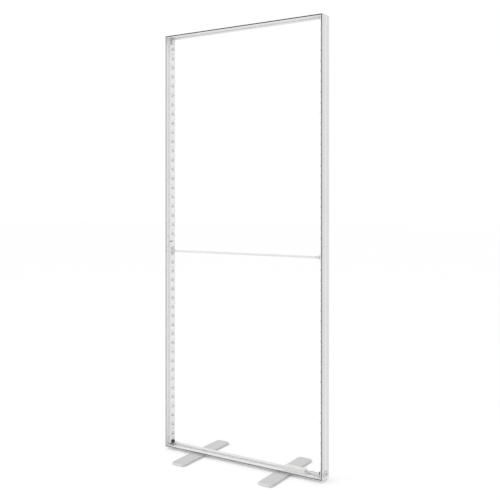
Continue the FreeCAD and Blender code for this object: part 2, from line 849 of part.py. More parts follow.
# Leads that join the lower and the upper board run inside the carriers.
jumper_radius = num("$jumper_radius")
for side, flip in SIDES.items():
    inside = Vector(flip, 0, 0)
    deep = num("%s - $carrier_wall" % CARRIER_TOP)
    reach, block = num("$jumper_reach"), num("$jumper_end")
    wall_spot = post_spot(side, deep, 0, middle_z)
    lead_spot = wall_spot - inside * (block / 2)
    rod_part = rod(lead_spot - Vector(0, 0, reach), Vector(0, 0, 1), jumper_radius, 2 * reach)
    x0, x1 = sorted((wall_spot.x, (wall_spot - inside * block).x))
    for up in (-1, 1):
        z0, z1 = sorted((middle_z + up * reach, middle_z + up * (reach + block)))
        rod_part = rod_part.fuse(solid_box(x0, -block, z0, x1, block, z1))
    jumpers.append(rod_part)
feature("light_jumpers", Part.makeCompound(jumpers))
feature("board_connectors", Part.makeCompound(connectors))


# --------------------------------------------------------- cross brace

def socket(side):
    """A plate with a cup that one end of the brace sits in."""
    flip = SIDES[side]
    low = SOCKET_LOW
    ends = [inward(side, CARRIER_TOP), inward(side, "(%s + $socket_plate_thickness)" % CARRIER_TOP)]
    if side == "right":
        ends.reverse()
    half = "$socket_plate_width / 2"
    plate = box(ends[0], "-" + half, low, ends[1], half, SOCKET_HIGH)
    turn = ALONG_X if side == "left" else ALONG_X.inverted()
    plate_top = "(%s + $socket_plate_thickness)" % CARRIER_TOP
    cup = cylinder(inward(side, plate_top), "0", BRACE_Z, "$socket_radius", "$socket_depth", turn)
    bore_length = "%s - %s" % (SOCKET_MOUTH, SOCKET_BED)
    bore = cylinder(inward(side, SOCKET_BED), "0", BRACE_Z, "$socket_bore_radius", bore_length, turn)
    holes = [
        cylinder(
            inward(side, CARRIER_TOP), "0", "%s %s $socket_screw_offset" % (BRACE_Z, sign),
            "$board_screw_radius + $hole_clearance", "$socket_plate_thickness", turn,
        )
        for sign in "+-"
    ]
    for z in socket_screw_heights():
        bar_screws.append(board_screw(post_spot(side, num(plate_top), 0, z), Vector(flip, 0, 0)))
    return node("brace_socket_%s" % side, cut(fuse([plate, cup]), [bore] + holes))


for side in SIDES:
    socket(side)
feature("bar_screws", Part.makeCompound(bar_screws))

TUBE_LEFT = "(%s + $head_length)" % inward("left", SOCKET_BED)
SHOULDER = "(%s - $head_length)" % inward("right", SOCKET_BED)
TUBE_RIGHT = "(%s - $plunger_travel - $split_gap)" % SHOULDER
PLUNGER_TIP = "(%s - $plunger_length)" % SHOULDER
SEPTUM_FACE = "(%s - $spring_length)" % PLUNGER_TIP
BORE = "($tube_radius - $tube_wall)"

tube = cylinder(TUBE_LEFT, "0", BRACE_Z, "$tube_radius", "%s - %s" % (TUBE_RIGHT, TUBE_LEFT), ALONG_X)
left_bore = cylinder(TUBE_LEFT, "0", BRACE_Z, BORE, "%s - $septum - %s" % (SEPTUM_FACE, TUBE_LEFT), ALONG_X)
right_bore = cylinder(SEPTUM_FACE, "0", BRACE_Z, BORE, "%s - %s" % (TUBE_RIGHT, SEPTUM_FACE), ALONG_X)
node("brace_tube", cut(tube, [left_bore, right_bore]))

plug_head = cylinder("%s - $head_length" % TUBE_LEFT, "0", BRACE_Z, "$head_radius", "$head_length", ALONG_X)
spigot = cylinder(TUBE_LEFT, "0", BRACE_Z, "%s - $key_clearance" % BORE, "$spigot_length", ALONG_X)
node("brace_end_plug", fuse([plug_head, spigot]))

plunger_head = cylinder(SHOULDER, "0", BRACE_Z, "$head_radius", "$head_length", ALONG_X)
shank_radius = "%s - $plunger_clearance" % BORE
shank = cylinder(PLUNGER_TIP, "0", BRACE_Z, shank_radius, "$plunger_length", ALONG_X)
node("brace_plunger", fuse([plunger_head, shank]))

wire_radius = num("$spring_wire_radius")
coil_radius = num(BORE) - wire_radius - num("$plunger_clearance") * 3
coil_length = num("$spring_length") - 2 * wire_radius
helix = Part.makeLongHelix(coil_length / num("$spring_turns"), coil_length, coil_radius)
coil_start = Vector(coil_radius, 0, 0)
coil_section = Part.Wire([Part.Circle(coil_start, Vector(0, 1, 0), wire_radius).toShape()])
coil = Part.Wire(helix.Edges).makePipeShell([coil_section], True, True)
coil.Placement = Placement(Vector(num(SEPTUM_FACE) + wire_radius, 0, num(BRACE_Z)), ALONG_X)
feature("brace_spring", Part.makeCompound([coil]))


# --------------------------------------------------------- power inlet

def stadium(length, width, thickness):
    """A flat oval in the XY plane with round ends, given as numbers."""
    half, radius = length / 2 - width / 2, width / 2
    corner_a, corner_b = Vector(-half, -radius, 0), Vector(half, -radius, 0)
    corner_c, corner_d = Vector(half, radius, 0), Vector(-half, radius, 0)
    edges = [
        Part.LineSegment(corner_a, corner_b).toShape(),
        Part.Arc(corner_b, Vector(length / 2, 0, 0), corner_c).toShape(),
        Part.LineSegment(corner_c, corner_d).toShape(),
        Part.Arc(corner_d, Vector(-length / 2, 0, 0), corner_a).toShape(),
    ]
    return Part.Face(Part.Wire(edges)).extrude(Vector(0, 0, thickness))


def outward_right(depth):
    """Lays a shape made on the XY plane against the right side, its Z outwards."""
    spot = Vector(num(HALF_WIDTH) - depth, 0, num(INLET_Z))
    lengthways = Rotation(Vector(0, 1, 0), Vector(0, 0, 1), Vector(1, 0, 0), "XYZ")
    return Placement(spot, lengthways)


def set_on_right(shape, depth):
    shape.Placement = outward_right(depth)
    return shape


gasket = num("$gasket")
flange = num("$inlet_flange")
body_size = (num("$inlet_body_width"), num("$inlet_body_height"))
inlet_depth = num("$inlet_body_depth")
mouth_depth = num("$inlet_mouth_depth")
front_face = -(gasket + flange)
screw_half = num("$inlet_screw_pitch / 2")

moulding = set_on_right(stadium(num("$inlet_length"), num("$inlet_flange_height"), flange), -gasket)
outside = num(HALF_WIDTH) - front_face
rim = [e for e in moulding.Edges if abs(e.BoundBox.XMin - outside) < NEAR > e.BoundBox.XLength]
moulding = moulding.makeFillet(num("$inlet_rim_round"), rim)
moulding = moulding.fuse(
    solid_box(
        num(HALF_WIDTH) - inlet_depth, -body_size[0] / 2, num(INLET_Z) - body_size[1] / 2,
        num(HALF_WIDTH) + gasket, body_size[0] / 2, num(INLET_Z) + body_size[1] / 2,
    )
)
mouth = stadium(num("$inlet_mouth_length"), num("$inlet_mouth_height"), mouth_depth)
mouth = set_on_right(mouth, front_face + mouth_depth)
moulding = moulding.cut(mouth)
inlet_screws = []
gasket_length = num("$inlet_length - 2 * $gasket_margin")
gasket_height = num("$inlet_flange_height - 2 * $gasket_margin")
seal = set_on_right(stadium(gasket_length, gasket_height, gasket), 0)
seal = seal.cut(solid_box(
    0, -body_size[0] / 2, num(INLET_Z) - body_size[1] / 2,
    num(HALF_WIDTH) + 2 * gasket, body_size[0] / 2, num(INLET_Z) + body_size[1] / 2,
))
for face in (-1, 1):
    out = Vector(1, 0, 0)
    spot = Vector(num(HALF_WIDTH) - front_face, face * screw_half, num(INLET_Z))
    head_radius, shank_radius_mm = num("$inlet_screw_head"), num("$inlet_screw_radius")
    cone_height = head_radius - shank_radius_mm
    cone = Part.makeCone(head_radius, shank_radius_mm, cone_height, spot, out * -1)
    length = num("$outer_wall") - front_face
    shank_solid = rod(spot, out * -1, shank_radius_mm, length)
    slot = rod(spot, out * -1, num("$inlet_screw_radius") / 2, cone_height / 2)
    clear = num("$hole_clearance")
    clear_cone = Part.makeCone(head_radius + clear, shank_radius_mm + clear, cone_height, spot, out * -1)
    clear_hole = rod(spot, out * -1, shank_radius_mm + clear, length + 1)
    moulding = moulding.cut(clear_cone.fuse(clear_hole))
    seal = seal.cut(clear_hole)
    inlet_screws.append(cone.fuse(shank_solid).cut(slot))
feature("power_inlet", moulding)
feature("inlet_gasket", seal)
feature("inlet_screws", Part.makeCompound(inlet_screws))
pins = []
for face in (-1, 1):
    root = Vector(num(HALF_WIDTH) - front_face - mouth_depth, face * num("$pin_pitch / 2"), num(INLET_Z))
    pins.append(rod(root, Vector(1, 0, 0), num("$pin_radius"), num("$pin_length")))
feature("inlet_pins", Part.makeCompound(pins))


def rounded_box(name, x0, y0, z0, x1, y1, z1, radius, end_x):
    """A box between two corners whose edges are rounded along X and round one end."""
    block = box(x0, y0, z0, x1, y1, z1)
    doc.recompute()
    rounded = doc.addObject("Part::Fillet", name)
    rounded.Base = block
    chosen = [
        i + 1
        for i, edge in enumerate(block.Shape.Edges)
        if edge.BoundBox.XLength > 1 or abs(edge.BoundBox.XMin - end_x) < NEAR > edge.BoundBox.XLength
    ]
    rounded.Edges = [(i, radius, radius) for i in chosen]
    return rounded


# The lower end of the left light bar: a block in line with the bar that
# carries its plug, and the plug, a base with two rounded lobes side by side.
PLUG_LOW = "(%s - $plug_height / 2)" % INLET_Z
PLUG_HIGH = "(%s + $plug_height / 2)" % INLET_Z
PLUG_END = "(%s + $plug_depth)" % CARRIER_TOP
node("left_bar_foot", box(
    inward("left", FACE), "-$carrier_width / 2", "%s - $bar_foot_margin" % PLUG_LOW,
    inward("left", CARRIER_TOP), "$carrier_width / 2", "%s - $key_clearance" % LOWER_BAR[0],
))
plug_base = box(
    inward("left", CARRIER_TOP), "-$plug_width / 2", PLUG_LOW,
    inward("left", "(%s + $plug_base)" % CARRIER_TOP), "$plug_width / 2", PLUG_HIGH,
)
lobes = []
for face in (1, -1):
    middle = signed(face, "($plug_width / 2 - $plug_lobe_width / 2 - $plug_round / 2)")
    lobes.append(rounded_box(
        "Lobe",
        inward("left", CARRIER_TOP), "%s - $plug_lobe_width / 2" % middle, "%s + $plug_round / 2" % PLUG_LOW,
        inward("left", PLUG_END), "%s + $plug_lobe_width / 2" % middle, PLUG_HIGH,
        num("$plug_round"), num(inward("left", PLUG_END)),
    ))
node("left_led_plug", fuse([plug_base] + lobes))

# The mains lead's push-on plug at the back of the inlet.
INLET_BACK = "(%s - $inlet_body_depth)" % HALF_WIDTH
MAINS_PLUG_END = "(%s - $mains_plug_depth)" % INLET_BACK
node("mains_plug", rounded_box(
    "Mains_plug",
    MAINS_PLUG_END, "-$mains_plug_width / 2", "%s - $mains_plug_height / 2" % INLET_Z,
    INLET_BACK, "$mains_plug_width / 2", "%s + $mains_plug_height / 2" % INLET_Z,
    num("$mains_plug_round"), num(MAINS_PLUG_END),
))


# -------------------------------------------------------------- driver

CASE_LEFT = "(%s - $driver_case_length / 2)" % DRIVER_X
CASE_RIGHT = "(%s + $driver_case_length / 2)" % DRIVER_X

driver_x, driver_z = num(DRIVER_X), num(DRIVER_Z)
driver_width, driver_height = num("$driver_width"), num("$driver_height")
driver_base, driver_wall = num("$driver_base"), num("$driver_wall")
case_length = num("$driver_case_length")
case_left, case_right = num(CASE_LEFT), num(CASE_RIGHT)
lid_z = driver_z + driver_height - driver_wall
mains_y, led_y = num("$mains_lead_offset"), -num("$led_lead_offset")
channel_y = num("$channel_lead_offset")
mains_radius, led_radius = num("$mains_lead_radius"), num("$led_lead_radius")

base_plate = stadium(num("$driver_length"), driver_width, driver_base)
base_plate.translate(Vector(driver_x, 0, driver_z))
tub = solid_box(case_left, -driver_width / 2, driver_z, case_right, driver_width / 2, lid_z)
upright = [e for e in tub.Edges if e.BoundBox.ZLength > 1]
tub = tub.makeFillet(num("$plug_round"), upright)
room = solid_box(
    case_left + driver_wall, driver_wall - driver_width / 2, driver_z + driver_base,
    case_right - driver_wall, driver_width / 2 - driver_wall, lid_z,
)
tub = tub.fuse(base_plate).cut(room)
lid = solid_box(case_left, -driver_width / 2, lid_z, case_right, driver_width / 2, lid_z + driver_wall)
lid = lid.makeFillet(num("$plug_round"), [e for e in lid.Edges if e.BoundBox.ZLength > 1])
lid = lid.makeFillet(driver_wall / 2, [
    e for e in lid.Edges if abs(e.BoundBox.ZMin - lid_z - driver_wall) < NEAR > e.BoundBox.ZLength
])
board_gap = num("$key_clearance")
board_z = driver_z + driver_base + driver_wall
driver_board = solid_box(
    case_left + driver_wall + board_gap, driver_wall + board_gap - driver_width / 2, board_z,
    case_right - driver_wall - board_gap, driver_width / 2 - driver_wall - board_gap,
    board_z + num("$driver_board_thickness"),
)
# Ribs in the case carry the board.
for sign in (-1, 1):
    x0 = driver_x + sign * case_length / 4
    tub = tub.fuse(solid_box(
        x0 - driver_wall, driver_wall - driver_width / 2, driver_z + driver_base,
        x0 + driver_wall, driver_width / 2 - driver_wall, board_z,
    ))
driver_screws = []
for sign in (-1, 1):
    spot = Vector(driver_x + sign * num(DRIVER_SCREW_REACH), 0, driver_z + driver_base)
    up = Vector(0, 0, 1)
    radius, height = num("$driver_screw_radius"), num("$driver_screw_head_height")
    head = rod(spot, up, num("$driver_screw_head"), height)
    slot = rod(spot + up * (height / 3), up, num("$hex_radius"), height)
    shank = rod(spot, up * -1, radius, spot.z - num(BASE) - board_gap)
    driver_screws.append(head.fuse(shank).cut(slot))
    tub = tub.cut(rod(spot, up * -1, radius + num("$hole_clearance"), 2 * driver_base))
feature("driver_case", tub)
feature("driver_lid", lid)
feature("driver_board", driver_board)
feature("driver_screws", Part.makeCompound(driver_screws))


# ------------------------------------------------------ internal leads

mains_z, led_z = num("%s + $mains_lead_height" % BASE), num("%s + $led_lead_height" % BASE)
mains_run = [Vector(num(MAINS_PLUG_END), mains_y, mains_z), Vector(case_right, mains_y, mains_z)]
lead("mains_lead", mains_run, mains_radius)

# The leads reach their connectors straight, after a short lean to one side.
rise = post_spot("right", num(BOARD_TOP) + num("$connector_height") / 2, 0, 0).x
lean = post_spot("left", num(BOARD_TOP) + num("$connector_height") / 2, 0, 0).x
connector_z = num(BOARDS["lower"][0]) + num("$connector_gap")
connector_y = num("$connector_width / 2 - $led_lead_radius - $key_clearance")
straight = num("$lead_straight")
lead("right_led_lead", [
    Vector(case_right, led_y, led_z),
    Vector(rise, led_y, led_z),
    Vector(rise, led_y, num("%s + $mains_plug_height / 2 + $led_lead_clearance" % INLET_Z)),
    Vector(rise, -connector_y, connector_z - straight),
    Vector(rise, -connector_y, connector_z),
], led_radius)

plug_face = num(inward("left", PLUG_END))
plug_z, plug_top = num(INLET_Z), num(PLUG_HIGH)
lobe_y = num("$plug_width / 2 - $plug_lobe_width / 2 - $plug_round / 2")
channel_z = num("%s + $outer_wall" % BASE) + led_radius + num("$channel_lead_lift")
drop, slope = num("$channel_lead_drop"), num("$channel_lead_slope")
lead("left_led_lead", [
    Vector(case_left, channel_y, led_z),
    Vector(case_left - drop, channel_y, led_z),
    Vector(case_left - drop - slope, channel_y, channel_z),
    Vector(plug_face + 2 * num("$plug_lead_reach"), channel_y, channel_z),
    Vector(plug_face + num("$plug_lead_reach"), lobe_y, plug_z),
    Vector(plug_face, lobe_y, plug_z),
], led_radius)

start = plug_face - led_radius - num("$plug_round")
exit_y = num("$plug_exit_offset")
lead("left_board_lead", [
    Vector(start, exit_y, plug_top),
    Vector(start, exit_y, plug_top + straight),
    Vector(lean, connector_y, connector_z - straight),
    Vector(lean, connector_y, connector_z),
], led_radius)


# ---------------------------------------------------------------- feet

def foot_plate(side):
    """A flat foot: a plate with round corners, a bore and a countersink below."""
    name = "%s_foot_plate" % side
    body = new_body(name)
    sketch = new_sketch(body, "Outline", "XY_Plane")
    x, y = "($foot_width / 2)", "($foot_length / 2)"
    draw_loop(sketch, rectangle("-" + x, "-" + y, x, y))
    pad(body, sketch, "$foot_thickness")
    round_edges(body, lambda edge: edge.BoundBox.ZLength > 1, "$foot_corner")
    top = num("$foot_thickness")
    round_edges(body, lambda edge: edge.BoundBox.ZMin > top - NEAR, "$foot_edge")
    bore = new_sketch(body, "Bore", "XY_Plane")
    draw_circle(bore, "0", "0", "$foot_bolt_radius + $foot_bore_clearance")
    pocket(body, bore, "$foot_thickness", reverse=True)
    sink = new_sketch(body, "Countersink", "XZ_Plane")
    bolt, clear = "$foot_bolt_radius + $foot_bore_clearance", "$foot_cone_clearance"
    wide = "($foot_bolt_head + %s)" % clear
    deep = "($foot_bolt_recess + %s)" % clear
    draw_loop(sink, [
        ("0", "0"), (wide, "0"), (wide, deep), ("(%s)" % bolt, "%s + %s - (%s)" % (deep, wide, bolt)),
        ("0", "%s + %s - (%s)" % (deep, wide, bolt)),
    ])
    groove = body.newObject("PartDesign::Groove", "Groove")
    groove.Profile = sink
    groove.ReferenceAxis = (sink, ["V_Axis"])
    groove.Angle = 360
    place(body, FOOT_X if side == "right" else "-" + FOOT_X, "0", "$foot_pad_thickness")
    return node(name, body)


def ring_of_pads(side):
    """Four round pads under a foot, near its corners."""
    sign = 1 if side == "right" else -1
    x, y = "($foot_width / 2 - $foot_pad_inset)", "($foot_length / 2 - $foot_pad_inset)"
    pads = [
        cylinder(
            "%s %s %s" % (signed(sign, FOOT_X), a, x), "%s%s" % (b, y), "0",
            "$foot_pad_radius", "$foot_pad_thickness",
        )
        for a in "+-" for b in ("", "-")
    ]
    group = doc.addObject("Part::Compound", "%s_foot_pads" % side)
    group.Links = pads
    return node("%s_foot_pads" % side, group)


def foot_bolt(side):
    """A countersunk bolt with a hex socket, its head just inside the plate."""
    x = num(FOOT_X) if side == "right" else -num(FOOT_X)
    head, radius = num("$foot_bolt_head"), num("$foot_bolt_radius")
    low = num("$foot_pad_thickness + $foot_bolt_recess")
    up = Vector(0, 0, 1)
    start = Vector(x, 0, low)
    cone = Part.makeCone(head, radius, head - radius, start, up)
    nut_top = num("%s + $outer_wall + $slot_nut_thickness" % BASE)
    shank = rod(start, up, radius, nut_top - low)
    socket_hole = hexagon(start, num("$foot_bolt_hex"), num("$foot_bolt_hex"))
    foot_bolts.append(cone.fuse(shank).cut(socket_hole))
    half_length, half_width = num("$slot_nut_length") / 2, num("$slot_nut_width") / 2
    nut_low = num("%s + $outer_wall" % BASE)
    nut = solid_box(x - half_length, -half_width, nut_low, x + half_length, half_width, nut_top)
    nut = nut.cut(rod(Vector(x, 0, nut_low), up, radius, nut_top - nut_low))
    slot_nuts.append(nut)


def hexagon(start, across, depth):
    """A hexagonal hole's solid, going up from a point; across is corner to centre."""
    corners = [
        start + Vector(across * math.cos(i * math.pi / 3), across * math.sin(i * math.pi / 3), 0)
        for i in range(6)
    ]
    return Part.Face(Part.makePolygon(corners + corners[:1])).extrude(Vector(0, 0, depth))


foot_bolts = []
slot_nuts = []
for side in SIDES:
    foot_plate(side)
    ring_of_pads(side)
    foot_bolt(side)
feature("foot_bolts", Part.makeCompound(foot_bolts))
feature("slot_nuts", Part.makeCompound(slot_nuts))


# --------------------------------------------------- checks and export

doc.recompute()
for thing in doc.Objects:
    if {"Invalid", "Error"} & set(thing.State):
        raise RuntimeError("%s is in state %s" % (thing.Label, thing.State))
for thing in nodes:
    if thing.Shape.isNull() or not thing.Shape.isValid():
        raise RuntimeError("%s has no good shape" % thing.Label)
os.makedirs("parts", exist_ok=True)
for thing in nodes:
    thing.Shape.exportStep("parts/%s.step" % thing.Label)
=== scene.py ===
"""Finishes, small parts and stage for a free-standing illuminated partition frame."""

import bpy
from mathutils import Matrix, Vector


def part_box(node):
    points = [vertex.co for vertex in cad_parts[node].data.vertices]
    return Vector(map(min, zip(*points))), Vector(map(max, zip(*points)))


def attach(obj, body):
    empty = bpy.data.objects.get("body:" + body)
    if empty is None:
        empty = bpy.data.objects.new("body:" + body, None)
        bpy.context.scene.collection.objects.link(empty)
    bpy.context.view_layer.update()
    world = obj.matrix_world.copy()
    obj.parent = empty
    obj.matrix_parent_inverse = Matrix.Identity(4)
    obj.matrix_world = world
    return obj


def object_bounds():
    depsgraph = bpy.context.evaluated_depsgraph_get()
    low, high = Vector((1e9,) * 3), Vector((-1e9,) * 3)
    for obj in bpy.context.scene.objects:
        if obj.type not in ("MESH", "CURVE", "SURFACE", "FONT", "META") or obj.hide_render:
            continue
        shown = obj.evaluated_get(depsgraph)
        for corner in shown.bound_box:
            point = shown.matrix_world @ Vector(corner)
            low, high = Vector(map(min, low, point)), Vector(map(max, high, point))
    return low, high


bl_info = {
    "name": "Partition Frame",
    "version": (1, 0, 0),
    "blender": (4, 5, 0),
    "location": "3D View > Sidebar > Partition",
    "description": "Finishes and small parts of an illuminated partition frame",
    "category": "Object",
}

import math

import bmesh
import bpy
from mathutils import Matrix, Vector

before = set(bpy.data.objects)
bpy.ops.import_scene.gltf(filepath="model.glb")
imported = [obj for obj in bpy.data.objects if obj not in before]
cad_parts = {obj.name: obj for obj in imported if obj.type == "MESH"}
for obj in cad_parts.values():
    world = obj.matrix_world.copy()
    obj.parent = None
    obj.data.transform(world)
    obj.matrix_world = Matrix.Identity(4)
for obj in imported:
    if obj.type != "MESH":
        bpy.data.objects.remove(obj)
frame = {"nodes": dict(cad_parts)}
CAD_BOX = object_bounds()
MM = 0.001
LEVELS = ("lower", "upper")

# Which way is inwards along X from each side of the frame.
SIDES = {"left": 1, "right": -1}

# The recesses of the extrusion's section, and the margin that their shading keeps from an edge.
GROOVE_WALL = 1.5 * MM
GROOVE_MOUTH = 4.1 * MM
GROOVE_DEPTH = 15.5 * MM
CHANNEL_HALF = 10.6 * MM
CHANNEL_DEPTH = 8.3 * MM
SKIN = 0.2 * MM
# Painted light that keeps the inner channel pale against the shade that falls there, as a tone factor.
CHANNEL_PAINTED_LIGHT = 1.06

# Painted shade on a foot plate's long sides and painted light on its front and rear ends, as tone factors.
FOOT_SIDE_PAINTED_SHADE = 0.86
FOOT_END_PAINTED_LIGHT = 1.22

# Where a noise has most of its values.
NOISE_LOW, NOISE_HIGH = 0.3, 0.7

# The two copper tracks of a light board, as shares of its half width.
TRACK_INNER, TRACK_OUTER = 0.42, 0.86

# The angle from which an edge of a new piece is drawn sharp.
SHARP = math.radians(35)

# How far from one lens to the next the small parts sit.
PARTS_SHARE = 0.32


# ------------------------------------------------------------------ shading

class Wire:
    """An output socket that arithmetic can be done on."""

    def __init__(self, shade, socket):
        self.shade = shade
        self.socket = socket

    def __add__(self, other):
        return self.shade.maths("ADD", self, other)

    def __radd__(self, other):
        return self.shade.maths("ADD", other, self)

    def __sub__(self, other):
        return self.shade.maths("SUBTRACT", self, other)

    def __rsub__(self, other):
        return self.shade.maths("SUBTRACT", other, self)

    def __mul__(self, other):
        return self.shade.maths("MULTIPLY", self, other)

    def __rmul__(self, other):
        return self.shade.maths("MULTIPLY", other, self)

    def __gt__(self, other):
        return self.shade.maths("GREATER_THAN", self, other)

    def __lt__(self, other):
        return self.shade.maths("LESS_THAN", self, other)

    def __abs__(self):
        return self.shade.maths("ABSOLUTE", self)


class Shade:
    """A material or world under construction, on Object coordinates in metres."""

    def __init__(self, name, blocks=None):
        if blocks is None:
            blocks = bpy.data.materials
        self.block = blocks.new(name)
        self.block.use_nodes = True
        self.tree = self.block.node_tree
        self.tree.nodes.clear()

    def add(self, kind, settings=None, inputs=None, out=0):
        """Adds a node: its settings first, then the values or wires of its sockets."""
        made = self.tree.nodes.new(kind)
        for name, value in (settings or {}).items():
            setattr(made, name, value)
        for name, value in (inputs or {}).items():
            if isinstance(value, Wire):
                self.tree.links.new(value.socket, made.inputs[name])
            else:
                made.inputs[name].default_value = value
        return Wire(self, made.outputs[out]) if made.outputs else None

    def maths(self, operation, *values):
        """A Math node on numbers and wires."""
        return self.add("ShaderNodeMath", {"operation": operation}, dict(enumerate(values)))

    def place(self, scale=(1, 1, 1)):
        """Object coordinates, stretched where a scale is given."""
        coords = self.add("ShaderNodeTexCoord", out="Object")
        if tuple(scale) == (1, 1, 1):
            return coords
        return self.add("ShaderNodeMapping", {}, {"Vector": coords, "Scale": scale})

    def noise(self, size, detail=2.0, scale=(1, 1, 1), roughness=0.5):
        """A noise from 0 to 1 whose patches are about a size in metres."""
        inputs = {"Vector": self.place(scale), "Scale": 1 / size, "Detail": detail, "Roughness": roughness}
        return self.add("ShaderNodeTexNoise", {}, inputs)

    def spread(self, value, low, high):
        """Maps a noise's middle stretch onto a range."""
        inputs = {
            "Value": value, "From Min": NOISE_LOW, "From Max": NOISE_HIGH, "To Min": low, "To Max": high,
        }
        return self.add("ShaderNodeMapRange", {}, inputs)

    def blend(self, factor, first, second):
        """Mixes two colours, which are sockets 6 and 7 of the node and come out of its socket 2."""
        settings = {"data_type": "RGBA", "clamp_factor": True}
        return self.add("ShaderNodeMix", settings, {0: factor, 6: first, 7: second}, out=2)

    def axis(self, name):
        """One of the Object coordinates, by its letter."""
        return self.add("ShaderNodeSeparateXYZ", {}, {"Vector": self.place()}, out="XYZ".index(name))

    def bump(self, height, depth, strength=1.0, below=None):
        """A normal from a height, over another normal where one is given below."""
        inputs = {"Height": height, "Distance": depth, "Strength": strength}
        if below is not None:
            inputs["Normal"] = below
        return self.add("ShaderNodeBump", {}, inputs)

    def finish(self, **inputs):
        """Closes the material with a Principled shader; names use _ for a space."""
        named = {key.replace("_", " "): value for key, value in inputs.items()}
        shader = self.add("ShaderNodeBsdfPrincipled", {}, named)
        self.add("ShaderNodeOutputMaterial", {}, {"Surface": shader})
        return self.block


def tone(colour, factor):
    """A colour made lighter or darker."""
    return tuple(min(1.0, part * factor) for part in colour[:3]) + (1.0,)


def into_section(shade):
    """How far a spot lies in from the frame's outer side, and from the nearer face."""
    low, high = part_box("corner_bottom_left")[0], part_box("corner_top_right")[1]
    middle = (low + high) / 2
    half = (high - low) / 2
    from_side = half.x - abs(shade.axis("X") - middle.x)
    from_end = half.z - abs(shade.axis("Z") - middle.z)
    edge = shade.maths("MINIMUM", from_side, from_end)
    return edge, half.y - abs(shade.axis("Y") - middle.y), half.y


def recesses(shade, base, colour, painted_groove_shade):
    """Paints shade inside the fabric grooves by a factor and paints light into the inner channel."""
    edge, depth, half_depth = into_section(shade)
    mouth = (edge > GROOVE_WALL - SKIN) * (edge < GROOVE_WALL + GROOVE_MOUTH + SKIN)
    in_groove = mouth * (depth > SKIN) * (depth < GROOVE_DEPTH)
    in_channel = (depth > half_depth - CHANNEL_HALF) * (edge < CHANNEL_DEPTH)
    # Painted shade in the fabric grooves.
    base = shade.blend(in_groove, base, tone(colour, painted_groove_shade))
    # Painted light in the inner channel.
    return shade.blend(in_channel, base, tone(colour, CHANNEL_PAINTED_LIGHT))


def extruded_metal(name, colour, roughness, along, metallic, painted_groove_shade):
    """Satin anodised extrusion: fine die lines along its length, slow clouds, painted shade in its grooves
    and painted light in its channel.
    """
    shade = Shade(name)
    stretch = [1.0, 1.0, 1.0]
    stretch["XYZ".index(along)] = 0.01
    lines = shade.noise(0.6 * MM, 3.0, stretch)
    broad = shade.noise(4 * MM, 2.0, stretch)
    clouds = shade.noise(120 * MM, 3.0)
    base = shade.blend(shade.spread(clouds, 0, 1), tone(colour, 0.97), tone(colour, 1.02))
    base = shade.blend(shade.spread(broad, 0, 0.4), base, tone(colour, 0.94))
    base = recesses(shade, base, colour, painted_groove_shade)
    grain = shade.noise(0.25 * MM, 2.0)
    normal = shade.bump(lines * 0.6 + grain * 0.4, 0.02 * MM, 0.35)
    return shade.finish(
        Base_Color=base, Metallic=metallic, Normal=normal,
        Roughness=shade.spread(lines, roughness - 0.05, roughness + 0.06),
    )


def corner_metal(name, colour, roughness, metallic, painted_groove_shade):
    """The anodised finish of the corner pieces: an even, slightly pitted satin with painted shade in its
    grooves and painted light in its channel.
    """
    shade = Shade(name)
    clouds = shade.noise(30 * MM, 3.0)
    pits = shade.noise(0.5 * MM, 3.0)
    base = shade.blend(shade.spread(clouds, 0, 1), tone(colour, 0.96), tone(colour, 1.02))
    base = recesses(shade, base, colour, painted_groove_shade)
    return shade.finish(
        Base_Color=base, Metallic=metallic, Normal=shade.bump(pits, 0.03 * MM, 0.4),
        Roughness=shade.spread(clouds, roughness - 0.03, roughness + 0.05),
    )


def powder_coat(name, colour, roughness, metallic=0.0, grain=0.5 * MM, scuffs=0.0, painted_shading_rims=()):
    """A baked coating with a fine orange peel, clouds and, where asked, faint scuffs.

    Each rim is an axis, the middle and the reach beyond which the coat has a tone of painted light
    and shade, and that tone's factor; the pieces lie on both sides of the frame's middle plane.
    """
    shade = Shade(name)
    peel = shade.noise(grain, 2.0)
    clouds = shade.noise(60 * MM, 3.0)
    base = shade.blend(shade.spread(clouds, 0, 1), tone(colour, 0.97), tone(colour, 1.02))
    rough = shade.spread(clouds, roughness - 0.04, roughness + 0.04)
    if scuffs:
        marks = shade.noise(5 * MM, 5.0, (1, 0.12, 1), 0.75)
        worn = shade.add("ShaderNodeMapRange", {}, {"Value": marks, "From Min": 0.62, "From Max": 0.72})
        base = shade.blend(worn * scuffs, base, tone(colour, 0.8))
        rough = rough + worn * 0.15
    # Painted light and shade on the faces beyond each rim.
    for axis, middle, reach, factor in painted_shading_rims:
        beyond = abs(abs(shade.axis(axis)) - middle) > reach
        base = shade.blend(beyond, base, tone(colour, factor))
    return shade.finish(
        Base_Color=base, Roughness=rough, Metallic=metallic, Normal=shade.bump(peel, 0.04 * MM, 0.5),
    )


def zinc_plate(name, colour, roughness):
    """Zinc plating: small crystals of slightly different tones."""
    shade = Shade(name)
    inputs = {"Vector": shade.place(), "Scale": 1 / (2.2 * MM)}
    crystals = shade.add("ShaderNodeTexVoronoi", {}, inputs, out="Color")
    shift = shade.add("ShaderNodeSeparateColor", {}, {"Color": crystals})
    dull = shade.noise(12 * MM, 3.0)
    base = shade.blend(shift, tone(colour, 0.86), tone(colour, 1.05))
    base = shade.blend(shade.spread(dull, 0, 0.35), base, tone(colour, 0.7))
    return shade.finish(
        Base_Color=base, Metallic=1.0, Roughness=shade.spread(dull, roughness - 0.05, roughness + 0.12),
        Normal=shade.bump(shift, 0.01 * MM, 0.3),
    )


def machined_steel(name, colour, roughness):
    """Bright screws: very fine turned marks and a little tarnish."""
    shade = Shade(name)
    marks = shade.noise(0.2 * MM, 2.0)
    tarnish = shade.noise(3 * MM, 3.0)
    base = shade.blend(shade.spread(tarnish, 0, 1), tone(colour, 0.85), colour)
    return shade.finish(
        Base_Color=base, Metallic=1.0, Normal=shade.bump(marks, 0.01 * MM, 0.4),
        Roughness=shade.spread(tarnish, roughness + 0.08, roughness - 0.04),
    )


